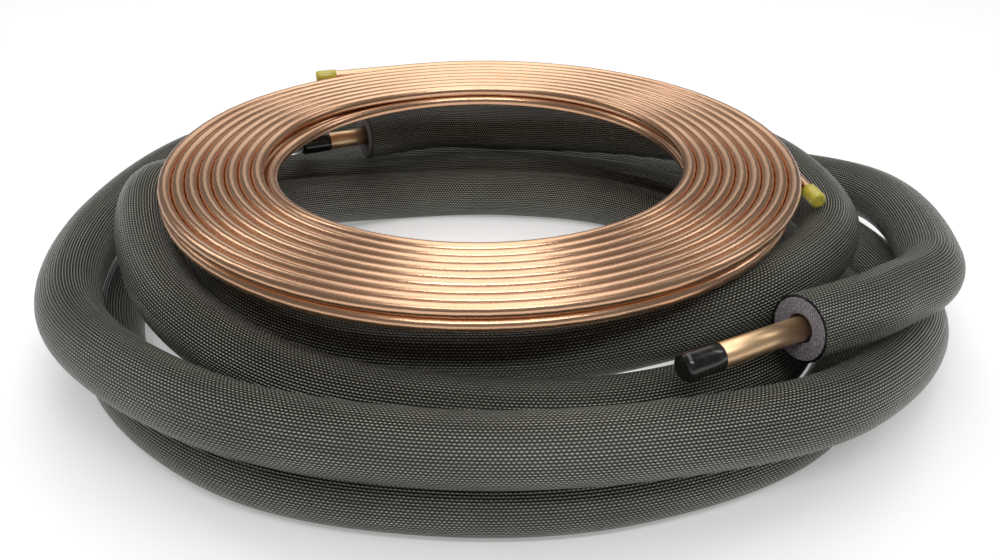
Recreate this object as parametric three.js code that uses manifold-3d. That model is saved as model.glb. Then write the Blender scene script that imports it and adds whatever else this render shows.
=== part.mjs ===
// Mini split line set: one coil of insulated suction line lying on the floor,
// and one flat coil of bare liquid line lying on top of it.
// Millimetres, +Z up, front of the coil towards -Y.
import * as THREE from "three";
import Module from "manifold-3d";

// Sizes of the suction line
const suctionDiameter = 15.875;
const suctionWall = 0.9;
const sleeveDiameter = 44.9;
const sleeveFit = 0.1;
const mouthDiameter = 19.5;
const mouthDepth = 18;
const endFaceStub = 95;
const backFaceStub = 64;

// Sizes of the liquid line
const liquidDiameter = 9.525;
const liquidTurns = 9;
const liquidLayers = 2;
const liquidTurnGap = 0.5;
const liquidInnerRadius = 157.7;
const liquidCentreY = 31.8;
const liquidSeamDepth = 3.4;

// Tails of the liquid line: where each one leaves the outer turn and how long it is
const frontTailAngle = 7;
const frontTailLength = 94;
const backTailAngle = 107;
const backTailLength = 94;

// Push-on caps
const capClearance = 0.3;
const capWall = 0.9;
const suctionCapLength = 28;
const liquidCapLength = 19;

// Clearances and the way the coil lies
const turnGap = 1.6;
const contactGap = 0.3;
const floorFlattening = 0.5;
const eyeRadius = 160;
const routeStartAngle = 117;
const routeEndAngle = -40;

// Fineness of the solids
const outerSides = 12;
const boreSides = 8;
const stepLength = 46;
const ringSegments = 40;
const roundSides = 24;
const tubeInset = 0.975;

const foamOuterRadius = sleeveDiameter / 2;
const boreRadius = suctionDiameter / 2 + sleeveFit;
const turnPitch = 2 * foamOuterRadius + turnGap;

// The route, clockwise from above: one [lane, level] pair every twelfth of a turn, and twice as many
// near both ends. A lane counts turn pitches outwards from the eye of the coil, a level counts them up.
const route = [
  [2.15, 1.1], [2.36, 1.06],
  [2.3, 1.02], [2.34, 1.22], [2.28, 1.66], [2.25, 1.56], [1.37, 1.6],
  [0.27, 1.2], [-0.07, 1.05], [0.18, 1.0], [0.62, 1.0], [1.15, 1.0], [1.37, 0.5],
  [1.33, 0], [1.08, 0], [1.33, 0], [1.57, 0], [1.7, 0.25], [1.64, 0.56],
  [1.3, 0.78], [0.97, 0.85], [1.22, 1.0], [1.68, 1.35], [2.12, 1.74], [2.33, 0.66],
  [2.33, 0], [2.12, 0], [2.36, 0], [2.6, 0], [2.75, 0], [2.45, 0],
  [1.91, 0], [1.74, 0], [2.07, 0], [2.5, 0], [2.93, 0], [3.27, 0],
  [3.42, 0], [3.16, 0], [3.38, 0], [3.64, 0.1], [3.7, 0.3], [3.06, 0.8],
  [2.3, 1.06], [2.03, 1.04], [2.41, 1.06], [3.03, 1.06], [3.25, 1.04], [3.7, 1.0],
  [4.52, 0.4], [4.25, 0], [4.44, 0.05], [4.46, 0.8], [3.72, 1.36],
  [2.98, 1.54], [2.22, 1.62],
];
const lastStation = route.length - 1;
const routeSteps = lastStation - 2;
const fullTurns = Math.floor(routeSteps / 12);
const routeSweep = 360 * fullTurns + routeStartAngle - routeEndAngle;
const routeStep = routeSweep / routeSteps;

// Steps from the start of the line to a station: the first two and the last two are half steps
function stepsTo(i) {
  return Math.min(Math.max(i / 2, i - 1), routeSteps - (lastStation - i) / 2);
}

const wasm = await Module();
wasm.setup();

function solid(geometry) {
  const flat = geometry.index ? geometry.toNonIndexed() : geometry;
  const position = flat.getAttribute("position");
  const keys = new Map();
  const vertices = [];
  const triangles = [];
  for (let i = 0; i < position.count; i++) {
    const point = [position.getX(i), position.getY(i), position.getZ(i)];
    const key = point.map((v) => Math.round(v * 1000)).join(",");
    if (!keys.has(key)) {
      keys.set(key, keys.size);
      vertices.push(...point);
    }
    triangles.push(keys.get(key));
  }
  const kept = [];
  for (let i = 0; i < triangles.length; i += 3) {
    const [a, b, c] = triangles.slice(i, i + 3);
    if (a !== b && b !== c && a !== c) kept.push(a, b, c);
  }
  const mesh = new wasm.Mesh({
    numProp: 3,
    vertProperties: new Float32Array(vertices),
    triVerts: new Uint32Array(kept),
  });
  return new wasm.Manifold(mesh);
}

function geometryOf(body) {
  const mesh = body.getMesh();
  const points = new Float32Array(mesh.numVert * 3);
  for (let i = 0; i < mesh.numVert; i++) {
    points.set(mesh.vertProperties.subarray(i * mesh.numProp, i * mesh.numProp + 3), i * 3);
  }
  const geometry = new THREE.BufferGeometry();
  geometry.setAttribute("position", new THREE.BufferAttribute(points, 3));
  geometry.setIndex(new THREE.BufferAttribute(mesh.triVerts, 1));
  return geometry;
}

// A regular polygon: its corners lie on the radius
function polygon(path, radius, sides) {
  for (let i = 0; i < sides; i++) {
    const turn = (2 * Math.PI * (i + 0.5)) / sides;
    const x = radius * Math.cos(turn);
    const y = radius * Math.sin(turn);
    if (i === 0) path.moveTo(x, y);
    else path.lineTo(x, y);
  }
  path.closePath();
  return path;
}

// A round part turned about its axis, then laid from a point along a direction
function lay(geometry, start, direction) {
  const up = new THREE.Vector3(0, 1, 0);
  const turn = new THREE.Quaternion().setFromUnitVectors(up, direction);
  geometry.applyQuaternion(turn);
  geometry.translate(start.x, start.y, start.z);
  return geometry;
}

function rod(radius, start, direction, length) {
  const geometry = new THREE.CylinderGeometry(radius, radius, length, roundSides);
  geometry.translate(0, length / 2, 0);
  return lay(geometry, start, direction);
}

// Centreline of the insulated line
const stations = route.map(([lane, level], i) => {
  const angle = THREE.MathUtils.degToRad(routeStartAngle - routeStep * stepsTo(i));
  const radius = eyeRadius + lane * turnPitch;
  const height = foamOuterRadius - floorFlattening + level * turnPitch;
  return new THREE.Vector3(radius * Math.cos(angle), radius * Math.sin(angle), height);
});
const centreline = new THREE.CatmullRomCurve3(stations, false, "catmullrom", 0.5);
centreline.arcLengthDivisions = 40 * stations.length;
const steps = Math.round(centreline.getLength() / stepLength);

function along(shape) {
  return new THREE.ExtrudeGeometry(shape, { steps, bevelEnabled: false, extrudePath: centreline });
}

// Foam sleeve: one long tube, flattened where it lies on the floor
const sleeveShape = polygon(new THREE.Shape(), foamOuterRadius, outerSides);
const boreCornerRadius = boreRadius / Math.cos(Math.PI / boreSides);
sleeveShape.holes.push(polygon(new THREE.Path(), boreCornerRadius, boreSides));
let sleeve = solid(along(sleeveShape));
sleeve = sleeve.trimByPlane([0, 0, 1], 0);

// The bore is wider at both mouths of the sleeve
const startPoint = centreline.getPointAt(0);
const startDirection = centreline.getTangentAt(0).negate();
const endPoint = centreline.getPointAt(1);
const endDirection = centreline.getTangentAt(1);
for (const [point, direction] of [
  [startPoint, startDirection],
  [endPoint, endDirection],
]) {
  const depth = point.clone().addScaledVector(direction, -mouthDepth);
  sleeve = sleeve.subtract(solid(rod(mouthDiameter / 2, depth, direction, mouthDepth + 1)));
}

// Suction tube: it runs through the sleeve and stands out at both ends
const tubeRadius = suctionDiameter / 2;
const hiddenShape = polygon(new THREE.Shape(), tubeRadius * tubeInset, boreSides);
const stubRoot = 4;
let tube = solid(along(hiddenShape));
for (const [point, direction, length] of [
  [startPoint, startDirection, backFaceStub],
  [endPoint, endDirection, endFaceStub],
]) {
  const root = point.clone().addScaledVector(direction, -stubRoot);
  tube = tube.add(solid(rod(tubeRadius, root, direction, length + stubRoot)));
  const mouth = point.clone();
  const boreLength = length + 1;
  tube = tube.subtract(solid(rod(tubeRadius - suctionWall, mouth, direction, boreLength)));
}

// A push-on cap with a domed end: its open end is at the start
function cap(tubeDiameter, length) {
  const inner = tubeDiameter / 2 + capClearance;
  const outer = inner + capWall;
  const dome = outer * 0.35;
  const profile = [
    new THREE.Vector2(inner, 0),
    new THREE.Vector2(outer, 0),
    new THREE.Vector2(outer, length - dome),
    new THREE.Vector2(outer - dome * 0.3, length - dome * 0.3),
    new THREE.Vector2(outer - dome, length),
    new THREE.Vector2(0, length),
    new THREE.Vector2(0, length - capWall - capClearance),
    new THREE.Vector2(inner, length - capWall - capClearance),
    new THREE.Vector2(inner, 0),
  ];
  return new THREE.LatheGeometry(profile, roundSides);
}

function capOnTube(tubeDiameter, length, tubeEnd, direction) {
  const reach = length - capWall - 2 * capClearance;
  const start = tubeEnd.clone().addScaledVector(direction, -reach);
  return lay(cap(tubeDiameter, length), start, direction);
}

// Liquid coil: one turned solid whose turns show as ridges, made with its underside at zero
const liquidRadius = liquidDiameter / 2;
const liquidPitch = liquidDiameter + liquidTurnGap;
const layerHeight = liquidDiameter * liquidLayers;
const liquidOuterRadius = liquidInnerRadius + (liquidTurns - 1) * liquidPitch;
const layerCentre = (layer) => liquidRadius + layer * liquidDiameter;

function turnedProfile() {
  const shoulder = liquidRadius * 0.42;
  const shoulderDrop = liquidRadius * 0.09;
  const points = [];
  for (let side = 0; side < 2; side++) {
    const low = side === 0;
    for (let i = 0; i < liquidTurns; i++) {
      const turn = low ? i : liquidTurns - 1 - i;
      const centre = liquidInnerRadius + turn * liquidPitch;
      const face = low ? 0 : layerHeight;
      const inwards = low ? 1 : -1;
      if (i > 0) {
        points.push(new THREE.Vector2(centre - inwards * liquidPitch / 2, face + inwards * liquidSeamDepth));
      }
      points.push(new THREE.Vector2(centre - inwards * shoulder, face + inwards * shoulderDrop));
      points.push(new THREE.Vector2(centre + inwards * shoulder, face + inwards * shoulderDrop));
    }
    const edge = low ? liquidOuterRadius : liquidInnerRadius;
    const outwards = low ? 1 : -1;
    for (let i = 0; i < liquidLayers; i++) {
      const layer = low ? i : liquidLayers - 1 - i;
      const rise = low ? 1 : -1;
      if (i > 0) {
        const seam = layerCentre(layer) - rise * liquidRadius;
        points.push(new THREE.Vector2(edge + outwards * (liquidRadius - liquidSeamDepth), seam));
      }
      const drop = edge + outwards * (liquidRadius - shoulderDrop);
      points.push(new THREE.Vector2(drop, layerCentre(layer) - rise * shoulder));
      points.push(new THREE.Vector2(drop, layerCentre(layer) + rise * shoulder));
    }
  }
  points.push(points[0].clone());
  return points;
}

const turned = new THREE.LatheGeometry(turnedProfile(), ringSegments);
turned.rotateX(Math.PI / 2);
turned.translate(0, liquidCentreY, 0);
let liquidCoil = solid(turned);

// Each tail leaves the outer turn along its tangent
function tail(angleDegrees, layer, sense, length) {
  const angle = THREE.MathUtils.degToRad(angleDegrees);
  const radial = new THREE.Vector3(Math.cos(angle), Math.sin(angle), 0);
  const direction = new THREE.Vector3(-Math.sin(angle), Math.cos(angle), 0).multiplyScalar(sense);
  const point = radial.multiplyScalar(liquidOuterRadius);
  point.y += liquidCentreY;
  point.z = layerCentre(layer);
  return { point, direction, end: point.clone().addScaledVector(direction, length) };
}
const frontTail = tail(frontTailAngle, 0, -1, frontTailLength);
const backTail = tail(backTailAngle, liquidLayers - 1, 1, backTailLength);
for (const [one, length] of [
  [frontTail, frontTailLength],
  [backTail, backTailLength],
]) {
  liquidCoil = liquidCoil.add(solid(rod(liquidRadius, one.point, one.direction, length)));
}

const frontCap = capOnTube(liquidDiameter, liquidCapLength, frontTail.end, frontTail.direction);
const backCap = capOnTube(liquidDiameter, liquidCapLength, backTail.end, backTail.direction);

// The capped coil is let down until it touches the sleeve, then lifted by the contact gap
function restHeight(body, support) {
  let touching = 0;
  let free = support.boundingBox().max[2];
  while (free - touching > contactGap / 10) {
    const height = (free + touching) / 2;
    if (body.translate([0, 0, height]).intersect(support).isEmpty()) free = height;
    else touching = height;
  }
  return free + contactGap;
}
const capped = liquidCoil.add(solid(frontCap)).add(solid(backCap));
const liquidBottom = restHeight(capped, sleeve);
liquidCoil = liquidCoil.translate([0, 0, liquidBottom]);
for (const end of [frontCap, backCap]) end.translate(0, 0, liquidBottom);

// Materials
const copper = new THREE.MeshStandardMaterial({ color: 0xc98563, metalness: 1, roughness: 0.35 });
copper.name = "copper";
const foam = new THREE.MeshStandardMaterial({ color: 0x33352f, roughness: 0.7 });
foam.name = "foam_jacket";
const blackCap = new THREE.MeshStandardMaterial({ color: 0x0c0c0c, roughness: 0.3 });
blackCap.name = "black_cap";
const yellowCap = new THREE.MeshStandardMaterial({ color: 0xd8c224, roughness: 0.35 });
yellowCap.name = "yellow_cap";

const suctionEnd = endPoint.clone().addScaledVector(endDirection, endFaceStub);
const suctionStart = startPoint.clone().addScaledVector(startDirection, backFaceStub);
const pieces = [
  ["insulation_sleeve", geometryOf(sleeve), foam],
  ["suction_tube", geometryOf(tube), copper],
  ["suction_cap_front", capOnTube(suctionDiameter, suctionCapLength, suctionEnd, endDirection), blackCap],
  ["suction_cap_back", capOnTube(suctionDiameter, suctionCapLength, suctionStart, startDirection), blackCap],
  ["liquid_line_coil", geometryOf(liquidCoil), copper],
  ["liquid_cap_front", frontCap, yellowCap],
  ["liquid_cap_back", backCap, yellowCap],
];

// The origin is the middle of the space the set takes up, on the floor
const bounds = new THREE.Box3();
for (const [, geometry] of pieces) {
  geometry.computeBoundingBox();
  bounds.union(geometry.boundingBox);
}
const middle = bounds.getCenter(new THREE.Vector3());
const group = new THREE.Group();
for (const [name, geometry, material] of pieces) {
  geometry.translate(-middle.x, -middle.y, -bounds.min.z);
  const mesh = new THREE.Mesh(geometry, material.clone());
  mesh.material.name = material.name;
  mesh.name = name;
  group.add(mesh);
}

export default group;
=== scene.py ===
# %% [markdown]
# # Mini split line set
# Two coils lie on a pale floor: a thick insulated suction line underneath, and a flat double
# layer of bare copper liquid line on top of it. The CAD part fixes where everything lies.
# This file gives each piece its fine shape and its finish, one piece at a time.

# %% Open the frame
import math

import bmesh
import bpy
from mathutils import Matrix, Vector


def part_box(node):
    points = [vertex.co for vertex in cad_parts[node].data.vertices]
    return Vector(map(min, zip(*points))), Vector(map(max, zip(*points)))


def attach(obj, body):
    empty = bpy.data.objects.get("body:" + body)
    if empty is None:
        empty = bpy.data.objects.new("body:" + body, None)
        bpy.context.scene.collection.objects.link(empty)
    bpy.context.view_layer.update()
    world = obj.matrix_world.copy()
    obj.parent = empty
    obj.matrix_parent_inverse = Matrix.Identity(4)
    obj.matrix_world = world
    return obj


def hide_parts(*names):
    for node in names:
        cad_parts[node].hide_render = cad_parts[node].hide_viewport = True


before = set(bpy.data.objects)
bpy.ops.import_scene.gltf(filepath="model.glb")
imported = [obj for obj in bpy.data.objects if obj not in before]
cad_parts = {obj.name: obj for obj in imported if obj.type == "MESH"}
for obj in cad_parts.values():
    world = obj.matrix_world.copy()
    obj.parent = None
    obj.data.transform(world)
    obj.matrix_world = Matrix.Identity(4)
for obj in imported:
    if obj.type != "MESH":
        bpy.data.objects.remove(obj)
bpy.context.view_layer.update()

# %% [markdown]
# ## Camera first
# The photograph looks down on the coils from the front, from fairly close by.

# %% Camera
camera_place = Vector((-0.006, -0.7534, 0.425))
camera_pitch = math.radians(28.9)
camera_data = bpy.data.cameras.new("photo_camera")
camera_data.sensor_width = 36
camera_data.lens = 36
camera_data.clip_start = 0.05
camera = bpy.data.objects.new("photo_camera", camera_data)
camera.location = camera_place
camera.rotation_euler = (math.radians(90) - camera_pitch, 0, 0)
bpy.context.collection.objects.link(camera)
bpy.context.scene.camera = camera

# %% [markdown]
# ## Two helpers for every piece
# A shape is worked on as a bmesh, which is quick to change. The first helper turns a finished
# bmesh into an object. The second hangs that object on the root and hides the CAD nodes it
# replaces.

# %% Helpers
def new_piece(name, bm, smooth=True):
    """A finished bmesh becomes an object at the origin, with its place in its mesh."""
    mesh = bpy.data.meshes.new(name)
    bm.to_mesh(mesh)
    bm.free()
    mesh.polygons.foreach_set("use_smooth", [smooth] * len(mesh.polygons))
    piece = bpy.data.objects.new(name, mesh)
    bpy.context.collection.objects.link(piece)
    print(name, len(mesh.polygons), "faces")
    return piece


def declare(piece, slot_name, *nodes):
    """Hangs a finished piece on the root body and hides the CAD nodes that it replaces."""
    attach(piece, "root")
    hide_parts(*nodes)


# %% [markdown]
# ## Floor
# One large grid at height zero is the floor. It belongs to the stage, not to the part.

# %% Floor
floor_half_width = 6
floor_mesh = bmesh.new()
bmesh.ops.create_grid(floor_mesh, x_segments=2, y_segments=2, size=floor_half_width)
floor = new_piece("floor", floor_mesh)

# %% [markdown]
# ## The route of the insulated line
# A coil thrown on the floor is never a neat spiral, so its route is a short given list, twelve
# to a turn and closer at both ends. Each pair says how far out the line lies, and how high,
# counted in line widths. The smooth curve through them is also the CAD part's.

# %% Route
sleeve_diameter = 0.0449
sleeve_radius = sleeve_diameter / 2
turn_gap = 0.0016
turn_pitch = sleeve_diameter + turn_gap
floor_flattening = 0.0005
eye_radius = 0.160
route_start = math.radians(117)
route_end = math.radians(-40 - 4 * 360)
# The CAD part is shifted by this much, so that its box stands centred on the origin.
middle = Vector((0.021029, 0.053430, 0))
route = [
    (2.15, 1.1), (2.36, 1.06),
    (2.3, 1.02), (2.34, 1.22), (2.28, 1.66), (2.25, 1.56), (1.37, 1.6),
    (0.27, 1.2), (-0.07, 1.05), (0.18, 1.0), (0.62, 1.0), (1.15, 1.0), (1.37, 0.5),
    (1.33, 0), (1.08, 0), (1.33, 0), (1.57, 0), (1.7, 0.25), (1.64, 0.56),
    (1.3, 0.78), (0.97, 0.85), (1.22, 1.0), (1.68, 1.35), (2.12, 1.74), (2.33, 0.66),
    (2.33, 0), (2.12, 0), (2.36, 0), (2.6, 0), (2.75, 0), (2.45, 0),
    (1.91, 0), (1.74, 0), (2.07, 0), (2.5, 0), (2.93, 0), (3.27, 0),
    (3.42, 0), (3.16, 0), (3.38, 0), (3.64, 0.1), (3.7, 0.3), (3.06, 0.8),
    (2.3, 1.06), (2.03, 1.04), (2.41, 1.06), (3.03, 1.06), (3.25, 1.04), (3.7, 1.0),
    (4.52, 0.4), (4.25, 0), (4.44, 0.05), (4.46, 0.8), (3.72, 1.36),
    (2.98, 1.54), (2.22, 1.62),
]
last_station = len(route) - 1
route_steps = last_station - 2
stations = []
for index, (lane, level) in enumerate(route):
    steps_on = min(max(index / 2, index - 1), route_steps - (last_station - index) / 2)
    angle = route_start + (route_end - route_start) * steps_on / route_steps
    reach = eye_radius + lane * turn_pitch
    height = sleeve_radius - floor_flattening + level * turn_pitch
    stations.append(Vector((reach * math.cos(angle), reach * math.sin(angle), height)) - middle)


def smooth_curve(points, per_span):
    """A Catmull-Rom curve: it passes through every point and bends evenly between them."""
    padded = [2 * points[0] - points[1], *points, 2 * points[-1] - points[-2]]
    curve = []
    for before, start, end, after in zip(padded, padded[1:], padded[2:], padded[3:]):
        leave = (end - before) / 2
        arrive = (after - start) / 2
        for i in range(per_span):
            t = i / per_span
            cubic = 2 * start - 2 * end + leave + arrive
            square = -3 * start + 3 * end - 2 * leave - arrive
            curve.append(((cubic * t + square) * t + leave) * t + start)
    curve.append(points[-1].copy())
    return curve


points_per_span = 24
centreline = smooth_curve(stations, points_per_span)
line_length = sum((b - a).length for a, b in zip(centreline, centreline[1:]))
print("insulated line", round(line_length, 3), "m in", len(centreline), "points")

# %% [markdown]
# ## Rolling a grid round a route
# A long tube is quickest made as a flat grid: one column for each step along the route, one
# row for each side. Every column is then rolled round the route by the matrix of its step,
# and the two long edges are welded. The matrices turn as little as they can, so the rows on
# the jacket run along the tube and don't wind round it.

# %% Tube
def frames_along(points):
    """One matrix for each point: Z along the route, X and Y across it, turned the least."""
    last = len(points) - 1
    ahead = [points[min(i + 1, last)] for i in range(last + 1)]
    behind = [points[max(i - 1, 0)] for i in range(last + 1)]
    tangents = [(a - b).normalized() for a, b in zip(ahead, behind)]
    across = Vector((0, 0, 1)).cross(tangents[0]).normalized()
    matrices = []
    for i, (point, tangent) in enumerate(zip(points, tangents)):
        if i:
            across = tangents[i - 1].rotation_difference(tangent) @ across
        across = (across - tangent * across.dot(tangent)).normalized()
        turn = Matrix((across, tangent.cross(across), tangent)).transposed().to_4x4()
        matrices.append(Matrix.Translation(point) @ turn)
    return matrices


def roll_tube(points, radius, sides):
    """A tube along the points. U of its UV map is metres along it, V is one for a turn around."""
    matrices = frames_along(points)
    steps = len(points) - 1
    bm = bmesh.new()
    bmesh.ops.create_grid(bm, x_segments=steps, y_segments=sides, size=0.5)
    travelled = [0.0]
    for a, b in zip(points, points[1:]):
        travelled.append(travelled[-1] + (b - a).length)
    uv = bm.loops.layers.uv.new("UVMap")
    place = {}
    for vert in bm.verts:
        place[vert] = (round((vert.co.x + 0.5) * steps), round((vert.co.y + 0.5) * sides))
    for face in bm.faces:
        for loop in face.loops:
            column, row = place[loop.vert]
            loop[uv].uv = (travelled[column], row / sides)
    for vert, (column, row) in place.items():
        angle = math.tau * (row % sides) / sides
        vert.co = matrices[column] @ Vector((radius * math.cos(angle), radius * math.sin(angle), 0))
    bmesh.ops.remove_doubles(bm, verts=bm.verts, dist=1e-7)
    rims = [edge for edge in bm.edges if edge.is_boundary]
    near_start = [edge for edge in rims if (edge.verts[0].co - points[0]).length < 2 * radius]
    near_end = [edge for edge in rims if (edge.verts[0].co - points[-1]).length < 2 * radius]
    return bm, matrices, near_start, near_end


def shrink_ring(bm, edges, matrix, scale, depth=0.0):
    """Extrudes a ring of edges once, scaled about its axis and moved along it by the depth."""
    grown = bmesh.ops.extrude_edge_only(bm, edges=edges)["geom"]
    verts = [g for g in grown if isinstance(g, bmesh.types.BMVert)]
    fresh = set(verts)
    local = Matrix.Translation((0, 0, depth)) @ Matrix.Diagonal((scale, scale, 1, 1))
    bmesh.ops.transform(bm, matrix=matrix @ local @ matrix.inverted(), verts=verts)
    return [g for g in grown if isinstance(g, bmesh.types.BMEdge) and set(g.verts) <= fresh]


# %% [markdown]
# ## The insulated line
# The jacket and its foam are one tube. At each end the ring is drawn inwards: first over the
# cut edge of the jacket, then over the foam face, then into the mouth where the copper comes
# out. A second UV map marks the cut foam, so one material can show both finishes.

# %% Insulation sleeve
sleeve_sides = 36
skin_inset = 0.0002
floor_clearance = 0.0002
rim_width = 0.0017
rim_rise = 0.0004
mouth_radius = 0.0195 / 2
mouth_depth = 0.018
mouth_bevel = 0.0006

outer_radius = sleeve_radius - skin_inset
rings_inward = [
    (0.0185, 0.0), (0.0150, 0.0), (0.0120, 0.0), (mouth_radius + mouth_bevel, 0.0),
    (mouth_radius, mouth_bevel), (mouth_radius, mouth_depth),
]
sleeve_bm, matrices, start_ring, end_ring = roll_tube(centreline, outer_radius, sleeve_sides)
for vert in sleeve_bm.verts:
    vert.co.z = max(vert.co.z, floor_clearance)
film_edge = set()
foam_faces = set()
for rim, matrix, inward in ((start_ring, matrices[0], 1), (end_ring, matrices[-1], -1)):
    radius = outer_radius - rim_width
    known = set(sleeve_bm.faces)
    rim = shrink_ring(sleeve_bm, rim, matrix, radius / outer_radius, -rim_rise * inward)
    film_edge |= set(sleeve_bm.faces) - known
    known = set(sleeve_bm.faces)
    for target, depth in rings_inward:
        rim = shrink_ring(sleeve_bm, rim, matrix, target / radius, depth * inward)
        radius = target
    bmesh.ops.contextual_create(sleeve_bm, geom=rim)
    foam_faces |= set(sleeve_bm.faces) - known
cut = sleeve_bm.loops.layers.uv.new("cut")
for faces, mark in ((foam_faces, (1, 0)), (film_edge, (0, 1))):
    for face in faces:
        for loop in face.loops:
            loop[cut].uv = mark
bmesh.ops.recalc_face_normals(sleeve_bm, faces=sleeve_bm.faces)
sleeve = new_piece("insulation_jacket", sleeve_bm)
declare(sleeve, "foam_jacket", "insulation_sleeve")

# %% [markdown]
# ## The bare ends of the suction tube
# Only the two ends of the suction tube can be seen. Each is a rod that starts deep in the
# foam's mouth and runs straight on. Its far end is inset and pushed in, which leaves a thin
# wall: under its cap, the tube is open.

# %% Suction tube ends
suction_diameter = 0.015875
tube_radius = suction_diameter / 2
tube_wall = 0.0009
bore_depth = 0.05
front_stub = 0.095
back_stub = 0.064


def tube_end(bm, matrix, length):
    """A straight tube end along the matrix's Z, open at its far end."""
    root = Matrix.Translation((0, 0, -mouth_depth))
    middle_up = Matrix.Translation((0, 0, (length + mouth_depth) / 2))
    made = bmesh.ops.create_cone(
        bm, cap_ends=True, segments=48, radius1=tube_radius, radius2=tube_radius,
        depth=length + mouth_depth, matrix=matrix @ root @ middle_up)["verts"]
    tip = matrix @ Vector((0, 0, length))
    caps = [f for f in {f for v in made for f in v.link_faces} if len(f.verts) > 4]
    far_cap = min(caps, key=lambda f: (f.calc_center_median() - tip).length)
    bmesh.ops.inset_region(bm, faces=[far_cap], thickness=tube_wall)
    pushed = bmesh.ops.extrude_discrete_faces(bm, faces=[far_cap])["faces"][0]
    bmesh.ops.translate(bm, verts=pushed.verts, vec=matrix.to_3x3() @ Vector((0, 0, -bore_depth)))


def facing(point, direction):
    """A matrix at the point whose Z runs along the direction."""
    return Matrix.Translation(point) @ direction.to_track_quat("Z", "Y").to_matrix().to_4x4()


front_direction = (centreline[-1] - centreline[-2]).normalized()
back_direction = (centreline[0] - centreline[1]).normalized()
front_mouth = facing(centreline[-1], front_direction)
back_mouth = facing(centreline[0], back_direction)
ends_bm = bmesh.new()
tube_end(ends_bm, front_mouth, front_stub)
tube_end(ends_bm, back_mouth, back_stub)
ends = new_piece("suction_tube_ends", ends_bm)
declare(ends, "copper_suction", "suction_tube")

# %% [markdown]
# ## The push-on caps
# Each tube end wears a soft plastic cap. A cap is a profile spun round its axis: up the
# outside, over a rounded shoulder to the middle, then back down the inside.

# %% Caps
cap_fit = 0.0003
cap_wall = 0.0009
black_cap_length = 0.028
black_cap_shoulder = 0.0042


def cap_mesh(tube_diameter, length, shoulder, matrix):
    """A closed cap whose open end is at the matrix and whose axis is its Z."""
    inner = tube_diameter / 2 + cap_fit
    outer = inner + cap_wall
    arc = [(outer - shoulder + shoulder * math.cos(a), length - shoulder + shoulder * math.sin(a))
           for a in (math.radians(9 * i) for i in range(11))]
    profile = [(inner, 0), (inner + 0.0003, 0), (outer - 0.0002, 0), (outer, 0.0003)]
    profile += [(outer, length * 0.3), *arc, (0, length), (0, length - cap_wall)]
    profile += [(inner - 0.001, length - cap_wall), (inner, length - cap_wall - 0.001), (inner, 0)]
    bm = bmesh.new()
    verts = [bm.verts.new((r, 0, z)) for r, z in profile]
    edges = [bm.edges.new(pair) for pair in zip(verts, verts[1:])]
    bmesh.ops.spin(bm, geom=verts + edges, cent=(0, 0, 0), axis=(0, 0, 1), angle=math.tau,
                   steps=48, use_merge=True)
    bmesh.ops.remove_doubles(bm, verts=bm.verts, dist=1e-6)
    bmesh.ops.recalc_face_normals(bm, faces=bm.faces)
    bmesh.ops.transform(bm, matrix=matrix, verts=bm.verts)
    return bm


def add_cap(name, slot_name, tube_diameter, length, shoulder, tip, direction):
    reach = length - cap_wall - 2 * cap_fit
    bm = cap_mesh(tube_diameter, length, shoulder, facing(tip - direction * reach, direction))
    piece = new_piece(name + "_shape", bm)
    declare(piece, slot_name, name)
    return piece


front_tip = centreline[-1] + front_direction * front_stub
back_tip = centreline[0] + back_direction * back_stub
black_size = (suction_diameter, black_cap_length, black_cap_shoulder)
black_caps = [
    add_cap("suction_cap_front", "black_cap", *black_size, front_tip, front_direction),
    add_cap("suction_cap_back", "black_cap", *black_size, back_tip, back_direction),
]

# %% [markdown]
# ## The liquid line
# The bare coil is one tube from cap to cap. It starts at the back, winds inwards through the
# top layer, drops to the lower layer at the innermost turn, winds outwards again and leaves
# at the right. Each turn is a true circle that steps in to the next one over its last part,
# as a machine winds it. One formula gives the radius and another the height.

# %% Liquid line route
liquid_diameter = 0.009525
liquid_radius = liquid_diameter / 2
coil_low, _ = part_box("liquid_line_coil")
coil_centre = Vector((0, 0.0318, 0)) - middle
coil_outer = 0.2379
coil_pitch = 0.00956
coil_rings = 9
layer_low = coil_low[2] + liquid_radius
layer_high = layer_low + liquid_diameter
top_angle = math.radians(107)
low_angle = math.radians(7)
top_turns = 8.6
crossover_turns = 0.28
step_share = 0.15
all_turns = 17 + (top_angle - low_angle) / math.tau
tail_length = 0.094
tail_steps = 8
coil_steps = 1340


def ease(x):
    """Goes from 0 to 1 with a level start and end."""
    x = min(max(x, 0.0), 1.0)
    return x * x * (3 - 2 * x)


def coil_point(turned):
    """The place on the coil after so many turns from its top end."""
    angle = top_angle - turned * math.tau
    from_end = min(turned, all_turns - turned)
    part = from_end % 1.0
    ring = math.floor(from_end) + ease((part - 1 + step_share) / step_share)
    reach = coil_outer - coil_pitch * min(ring, coil_rings - 1)
    drop = ease((turned - top_turns) / crossover_turns)
    height = layer_high + (layer_low - layer_high) * drop
    return coil_centre + Vector((reach * math.cos(angle), reach * math.sin(angle), height))


def tail_direction(angle, sense):
    """The way a tail leaves the coil: straight on from its circle."""
    return Vector((-math.sin(angle), math.cos(angle), 0)) * sense


coil_path = [coil_point(all_turns * i / coil_steps) for i in range(coil_steps + 1)]
back_tail = tail_direction(top_angle, 1)
front_tail = tail_direction(low_angle, -1)
tail_cuts = [tail_length * i / tail_steps for i in range(1, tail_steps + 1)]
liquid_path = [coil_path[0] + back_tail * d for d in reversed(tail_cuts)]
liquid_path += coil_path + [coil_path[-1] + front_tail * d for d in tail_cuts]
liquid_length = sum((b - a).length for a, b in zip(liquid_path, liquid_path[1:]))
print("liquid line", round(liquid_length, 2), "m in", round(all_turns, 2), "turns")

# %% [markdown]
# The route is rolled into a tube, its two ends are closed, and each gets a yellow cap.

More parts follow.
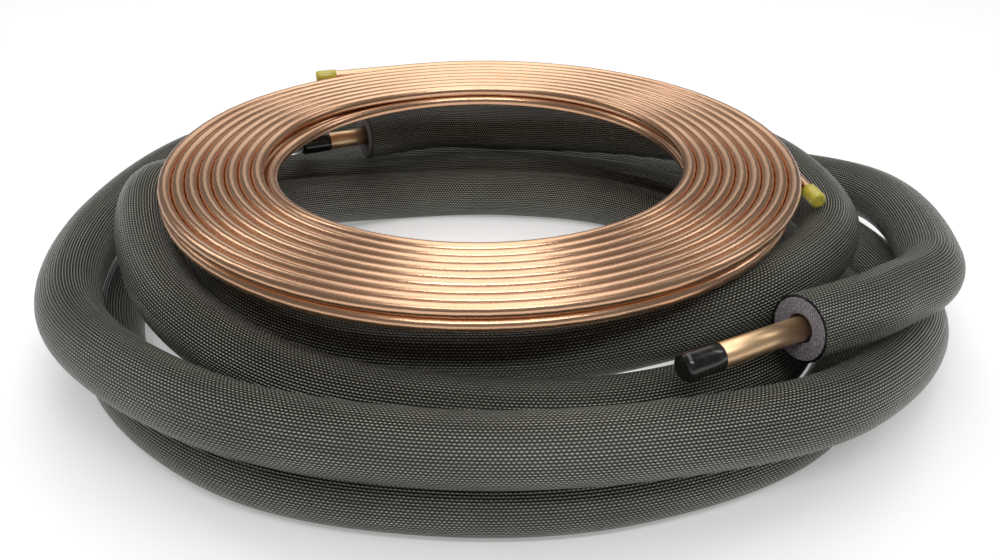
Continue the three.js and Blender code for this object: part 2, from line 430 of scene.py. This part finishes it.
# %% Liquid line
liquid_sides = 16
yellow_cap_length = 0.019
yellow_cap_shoulder = 0.0028
liquid_bm, _, start_ring, end_ring = roll_tube(liquid_path, liquid_radius, liquid_sides)
for rim in (start_ring, end_ring):
    bmesh.ops.contextual_create(liquid_bm, geom=rim)
bmesh.ops.recalc_face_normals(liquid_bm, faces=liquid_bm.faces)
liquid = new_piece("liquid_line", liquid_bm)
declare(liquid, "copper_liquid", "liquid_line_coil")
yellow_size = (liquid_diameter, yellow_cap_length, yellow_cap_shoulder)
yellow_caps = [
    add_cap("liquid_cap_front", "yellow_cap", *yellow_size, liquid_path[-1], front_tail),
    add_cap("liquid_cap_back", "yellow_cap", *yellow_size, liquid_path[0], back_tail),
]

# %% [markdown]
# ## Materials
# A material here is a small graph of nodes. The helpers below add a node, and chain two or
# three of them into one number per point of the surface.

# %% Node helpers
def new_material(name):
    """A node material with its graph, its Principled shader and a short way to add nodes."""
    material = bpy.data.materials.new(name)
    material.use_nodes = True
    graph = material.node_tree
    shader = graph.nodes["Principled BSDF"]
    return material, graph, shader


def put(socket, value):
    """Links a node's output into a socket, or sets a plain value on it."""
    if isinstance(value, bpy.types.NodeSocket):
        socket.id_data.links.new(value, socket)
    else:
        socket.default_value = value


def calc(graph, operation, first, second=0.0, third=0.0):
    """One Math node; each input is a number or another node's output."""
    node = graph.nodes.new("ShaderNodeMath")
    node.operation = operation
    for socket, value in zip(node.inputs, (first, second, third)):
        put(socket, value)
    return node.outputs[0]


def uv_parts(graph, layer):
    """The two numbers of a UV map."""
    uv = graph.nodes.new("ShaderNodeUVMap")
    uv.uv_map = layer
    split = graph.nodes.new("ShaderNodeSeparateXYZ")
    graph.links.new(uv.outputs["UV"], split.inputs[0])
    return split.outputs["X"], split.outputs["Y"]


def object_noise(graph, scale, detail=3.0, roughness=0.5):
    """Noise fixed to the object, as a number around one half."""
    place = graph.nodes.new("ShaderNodeTexCoord")
    texture = graph.nodes.new("ShaderNodeTexNoise")
    graph.links.new(place.outputs["Object"], texture.inputs["Vector"])
    texture.inputs["Scale"].default_value = scale
    texture.inputs["Detail"].default_value = detail
    texture.inputs["Roughness"].default_value = roughness
    return texture.outputs["Fac"]


def uv_noise(graph, layer, stretch):
    """Noise along a tube: stretched so that drawn streaks run its way."""
    uv = graph.nodes.new("ShaderNodeUVMap")
    uv.uv_map = layer
    mapping = graph.nodes.new("ShaderNodeMapping")
    mapping.inputs["Scale"].default_value = stretch
    texture = graph.nodes.new("ShaderNodeTexNoise")
    graph.links.new(uv.outputs["UV"], mapping.inputs["Vector"])
    graph.links.new(mapping.outputs["Vector"], texture.inputs["Vector"])
    texture.inputs["Scale"].default_value = 1.0
    texture.inputs["Detail"].default_value = 4.0
    return texture.outputs["Fac"]


def blend_colors(graph, amount, first, second):
    """A colour between two, by the amount."""
    node = graph.nodes.new("ShaderNodeMix")
    node.data_type = "RGBA"
    put(node.inputs["Factor"], amount)
    put(node.inputs[6], first)
    put(node.inputs[7], second)
    return node.outputs[2]


def remap(graph, value, low, high, to_low=0.0, to_high=1.0):
    """Stretches the span from low to high onto another span, and cuts off what lies past it."""
    node = graph.nodes.new("ShaderNodeMapRange")
    put(node.inputs["Value"], value)
    limits = {"From Min": low, "From Max": high, "To Min": to_low, "To Max": to_high}
    for name, number in limits.items():
        node.inputs[name].default_value = number
    return node.outputs["Result"]


def add_bump(graph, shader, height, distance, strength=1.0):
    """Tilts the shading by a height, whose full range stands for the distance in metres."""
    bump = graph.nodes.new("ShaderNodeBump")
    bump.inputs["Distance"].default_value = distance
    bump.inputs["Strength"].default_value = strength
    put(bump.inputs["Height"], height)
    graph.links.new(bump.outputs["Normal"], shader.inputs["Normal"])


# %% [markdown]
# ## The jacket and the foam
# The jacket is a black film pressed into a fine mesh: rows of short ribs along the tube, each
# row half a rib out of step with the next. Two cosines make the ribs, one around and one
# along. The ribs' tops are olive grey, partly rubbed wear and partly a painted highlight, and
# the pits are painted near black as painted shade. The second UV map, cut, says where the foam
# shows.

# %% Jacket material
rows_around = 72
rib_length = 0.0027
jacket, graph, shader = new_material("jacket_and_foam")
along, around = uv_parts(graph, "UVMap")
is_cut, is_edge = uv_parts(graph, "cut")
is_film = calc(graph, "SUBTRACT", 1.0, is_cut)
row = calc(graph, "MULTIPLY", around, float(rows_around))
row_wave = calc(graph, "COSINE", calc(graph, "MULTIPLY", row, math.tau))
ridge = calc(graph, "MULTIPLY_ADD", row_wave, 0.5, 0.5)
odd_row = calc(graph, "MODULO", calc(graph, "ROUND", row), 2.0)
rib_turn = calc(graph, "MULTIPLY", along, math.tau / rib_length)
rib_phase = calc(graph, "MULTIPLY_ADD", odd_row, math.pi, rib_turn)
rib = calc(graph, "MULTIPLY_ADD", calc(graph, "COSINE", rib_phase), 0.5, 0.5)
mesh_relief = calc(graph, "MULTIPLY", ridge, calc(graph, "MULTIPLY_ADD", rib, 0.6, 0.4))
relief = calc(graph, "MULTIPLY", mesh_relief, calc(graph, "SUBTRACT", 1.0, is_edge))

# %% [markdown]
# Colour, gloss and height all follow the relief: the pits are painted dark as painted shade, and
# the rib tops light, partly as rubbed wear and partly as a painted highlight. Broad patches and
# long strands vary how far the ribs are rubbed, and the foam gets its cells from two noises of
# different size.

# %% Jacket wear and painted pit shade, foam and bump
patches = remap(graph, object_noise(graph, 9.0, 4.0, 0.6), 0.35, 0.7)
strand = remap(graph, uv_noise(graph, "UVMap", (9.0, 70.0, 1.0)), 0.3, 0.7)
patch_wear = calc(graph, "MULTIPLY_ADD", patches, 0.3, 0.4)
wear = calc(graph, "MULTIPLY_ADD", strand, 0.4, patch_wear)
# Near black pits are painted shade; the olive grey rib tops are part rubbed wear, part painted
# highlight.
rub_highlight_and_pit_shade = calc(graph, "MULTIPLY", remap(graph, relief, 0.38, 0.88), wear)
film = blend_colors(graph, rub_highlight_and_pit_shade, (0.003, 0.003, 0.004, 1), (0.66, 0.66, 0.51, 1))
speckle = remap(graph, object_noise(graph, 900.0, 3.0, 0.7), 0.38, 0.64)
soft = remap(graph, object_noise(graph, 120.0, 3.0, 0.6), 0.3, 0.7)
foam = blend_colors(graph, speckle, (0.17, 0.155, 0.18, 1), (0.7, 0.66, 0.72, 1))
foam = blend_colors(graph, calc(graph, "MULTIPLY", soft, 0.35), foam, (0.4, 0.37, 0.4, 1))
put(shader.inputs["Base Color"], blend_colors(graph, is_cut, film, foam))
gloss = remap(graph, strand, 0.0, 1.0, 0.36, 0.22)
put(shader.inputs["Roughness"], calc(graph, "MULTIPLY_ADD", is_cut, 0.5, gloss))
dents = calc(graph, "MULTIPLY", uv_noise(graph, "UVMap", (14.0, 5.0, 1.0)), 2.5)
film_height = calc(graph, "MULTIPLY", calc(graph, "ADD", relief, dents), is_film)
cut_height = calc(graph, "MULTIPLY", calc(graph, "MULTIPLY", speckle, 0.7), is_cut)
add_bump(graph, shader, calc(graph, "ADD", film_height, cut_height), 0.0011)
sleeve.data.materials.append(jacket)

# %% [markdown]
# ## Copper
# Soft drawn copper is a satin metal. Its colour drifts a little between fresh salmon and a
# browner, handled tone, and fine drawing lines run along the tube.

# %% Copper materials
def copper(name, fresh, aged, layer, gloss_low, gloss_high):
    """Satin copper. With a UV layer its streaks run along the tube."""
    material, graph, shader = new_material(name)
    if layer:
        streaks = uv_noise(graph, layer, (3.0, 60.0, 1.0))
    else:
        streaks = object_noise(graph, 60.0, 4.0, 0.6)
    handled = remap(graph, object_noise(graph, 14.0, 4.0, 0.6), 0.35, 0.7)
    handled_share = calc(graph, "MULTIPLY", handled, 0.55)
    tone = calc(graph, "MULTIPLY_ADD", remap(graph, streaks, 0.3, 0.7), 0.45, handled_share)
    put(shader.inputs["Base Color"], blend_colors(graph, tone, fresh, aged))
    shader.inputs["Metallic"].default_value = 1.0
    put(shader.inputs["Roughness"], remap(graph, streaks, 0.25, 0.75, gloss_low, gloss_high))
    add_bump(graph, shader, streaks, 0.00008, 0.6)
    return material


salmon = (0.8, 0.5, 0.32, 1)
brown = (0.62, 0.35, 0.21, 1)
pale_gold = (0.95, 0.69, 0.4, 1)
orange = (0.86, 0.54, 0.32, 1)
liquid_copper = copper("liquid_copper", salmon, brown, "UVMap", 0.2, 0.33)
suction_copper = copper("suction_copper", pale_gold, orange, None, 0.34, 0.46)
liquid.data.materials.append(liquid_copper)
ends.data.materials.append(suction_copper)

# %% [markdown]
# ## Cap plastics
# The caps are soft vinyl with a wet shine. Slight waviness in the surface breaks their
# highlights, and a haze of handling marks varies the gloss.

# %% Cap materials
def vinyl(name, color, worn, gloss):
    """Glossy soft plastic with a clear top coat."""
    material, graph, shader = new_material(name)
    marks = remap(graph, object_noise(graph, 260.0, 5.0, 0.65), 0.45, 0.75)
    put(shader.inputs["Base Color"], blend_colors(graph, marks, color, worn))
    put(shader.inputs["Roughness"], remap(graph, marks, 0.0, 1.0, gloss, gloss + 0.18))
    shader.inputs["Coat Weight"].default_value = 0.3
    shader.inputs["Coat Roughness"].default_value = 0.08
    add_bump(graph, shader, object_noise(graph, 160.0, 2.0, 0.5), 0.0002, 0.25)
    return material


black_vinyl = vinyl("black_vinyl", (0.006, 0.006, 0.005, 1), (0.02, 0.02, 0.016, 1), 0.2)
yellow_vinyl = vinyl("yellow_vinyl", (0.62, 0.52, 0.06, 1), (0.48, 0.42, 0.08, 1), 0.28)
for piece in black_caps:
    piece.data.materials.append(black_vinyl)
for piece in yellow_caps:
    piece.data.materials.append(yellow_vinyl)

# %% [markdown]
# ## Studio
# The photograph is a catalogue shot on white. Wide dim panels above and behind fill the copper
# with even tone, and one narrow bright strip in front draws the thin highlights on its turns.
# A panel is given by its brightness, and its power follows from its area.

# %% Floor material
white, graph, shader = new_material("studio_white")
shade = object_noise(graph, 2.0)
paper = blend_colors(graph, shade, (0.87, 0.87, 0.87, 1), (0.89, 0.89, 0.89, 1))
put(shader.inputs["Base Color"], paper)
shader.inputs["Roughness"].default_value = 0.9
shader.inputs["Specular IOR Level"].default_value = 0.0
shader.inputs["Emission Color"].default_value = (1, 1, 1, 1)
shader.inputs["Emission Strength"].default_value = 0.3
floor.data.materials.append(white)

# %% Lights
def panel(name, place, size, brightness):
    """A square lamp at a place, turned to the origin, with the same brightness at any size."""
    lamp = bpy.data.lights.new(name, "AREA")
    lamp.shape = "RECTANGLE"
    lamp.size, lamp.size_y = size
    lamp.energy = brightness * math.pi * size[0] * size[1]
    lamp_object = bpy.data.objects.new(name, lamp)
    lamp_object.location = place
    lamp_object.rotation_euler = (-Vector(place)).to_track_quat("-Z", "Y").to_euler()
    bpy.context.collection.objects.link(lamp_object)


panel("overhead", (0.0, 0.3, 2.4), (1.7, 3.2), 1.9)
panel("back", (0.0, 2.3, 1.7), (2.6, 1.0), 0.9)
panel("front_strip", (0.1, -1.5, 1.9), (1.8, 0.2), 15.0)
panel("left_strip", (-1.7, 0.6, 1.5), (0.4, 1.2), 3.0)
panel("right_strip", (1.9, 0.5, 1.5), (0.4, 1.0), 3.0)

world = bpy.data.worlds.new("studio")
world.use_nodes = True
background = world.node_tree.nodes["Background"]
background.inputs["Color"].default_value = (1, 1, 1, 1)
background.inputs["Strength"].default_value = 0.17
bpy.context.scene.world = world
bpy.context.scene.view_settings.view_transform = "Standard"
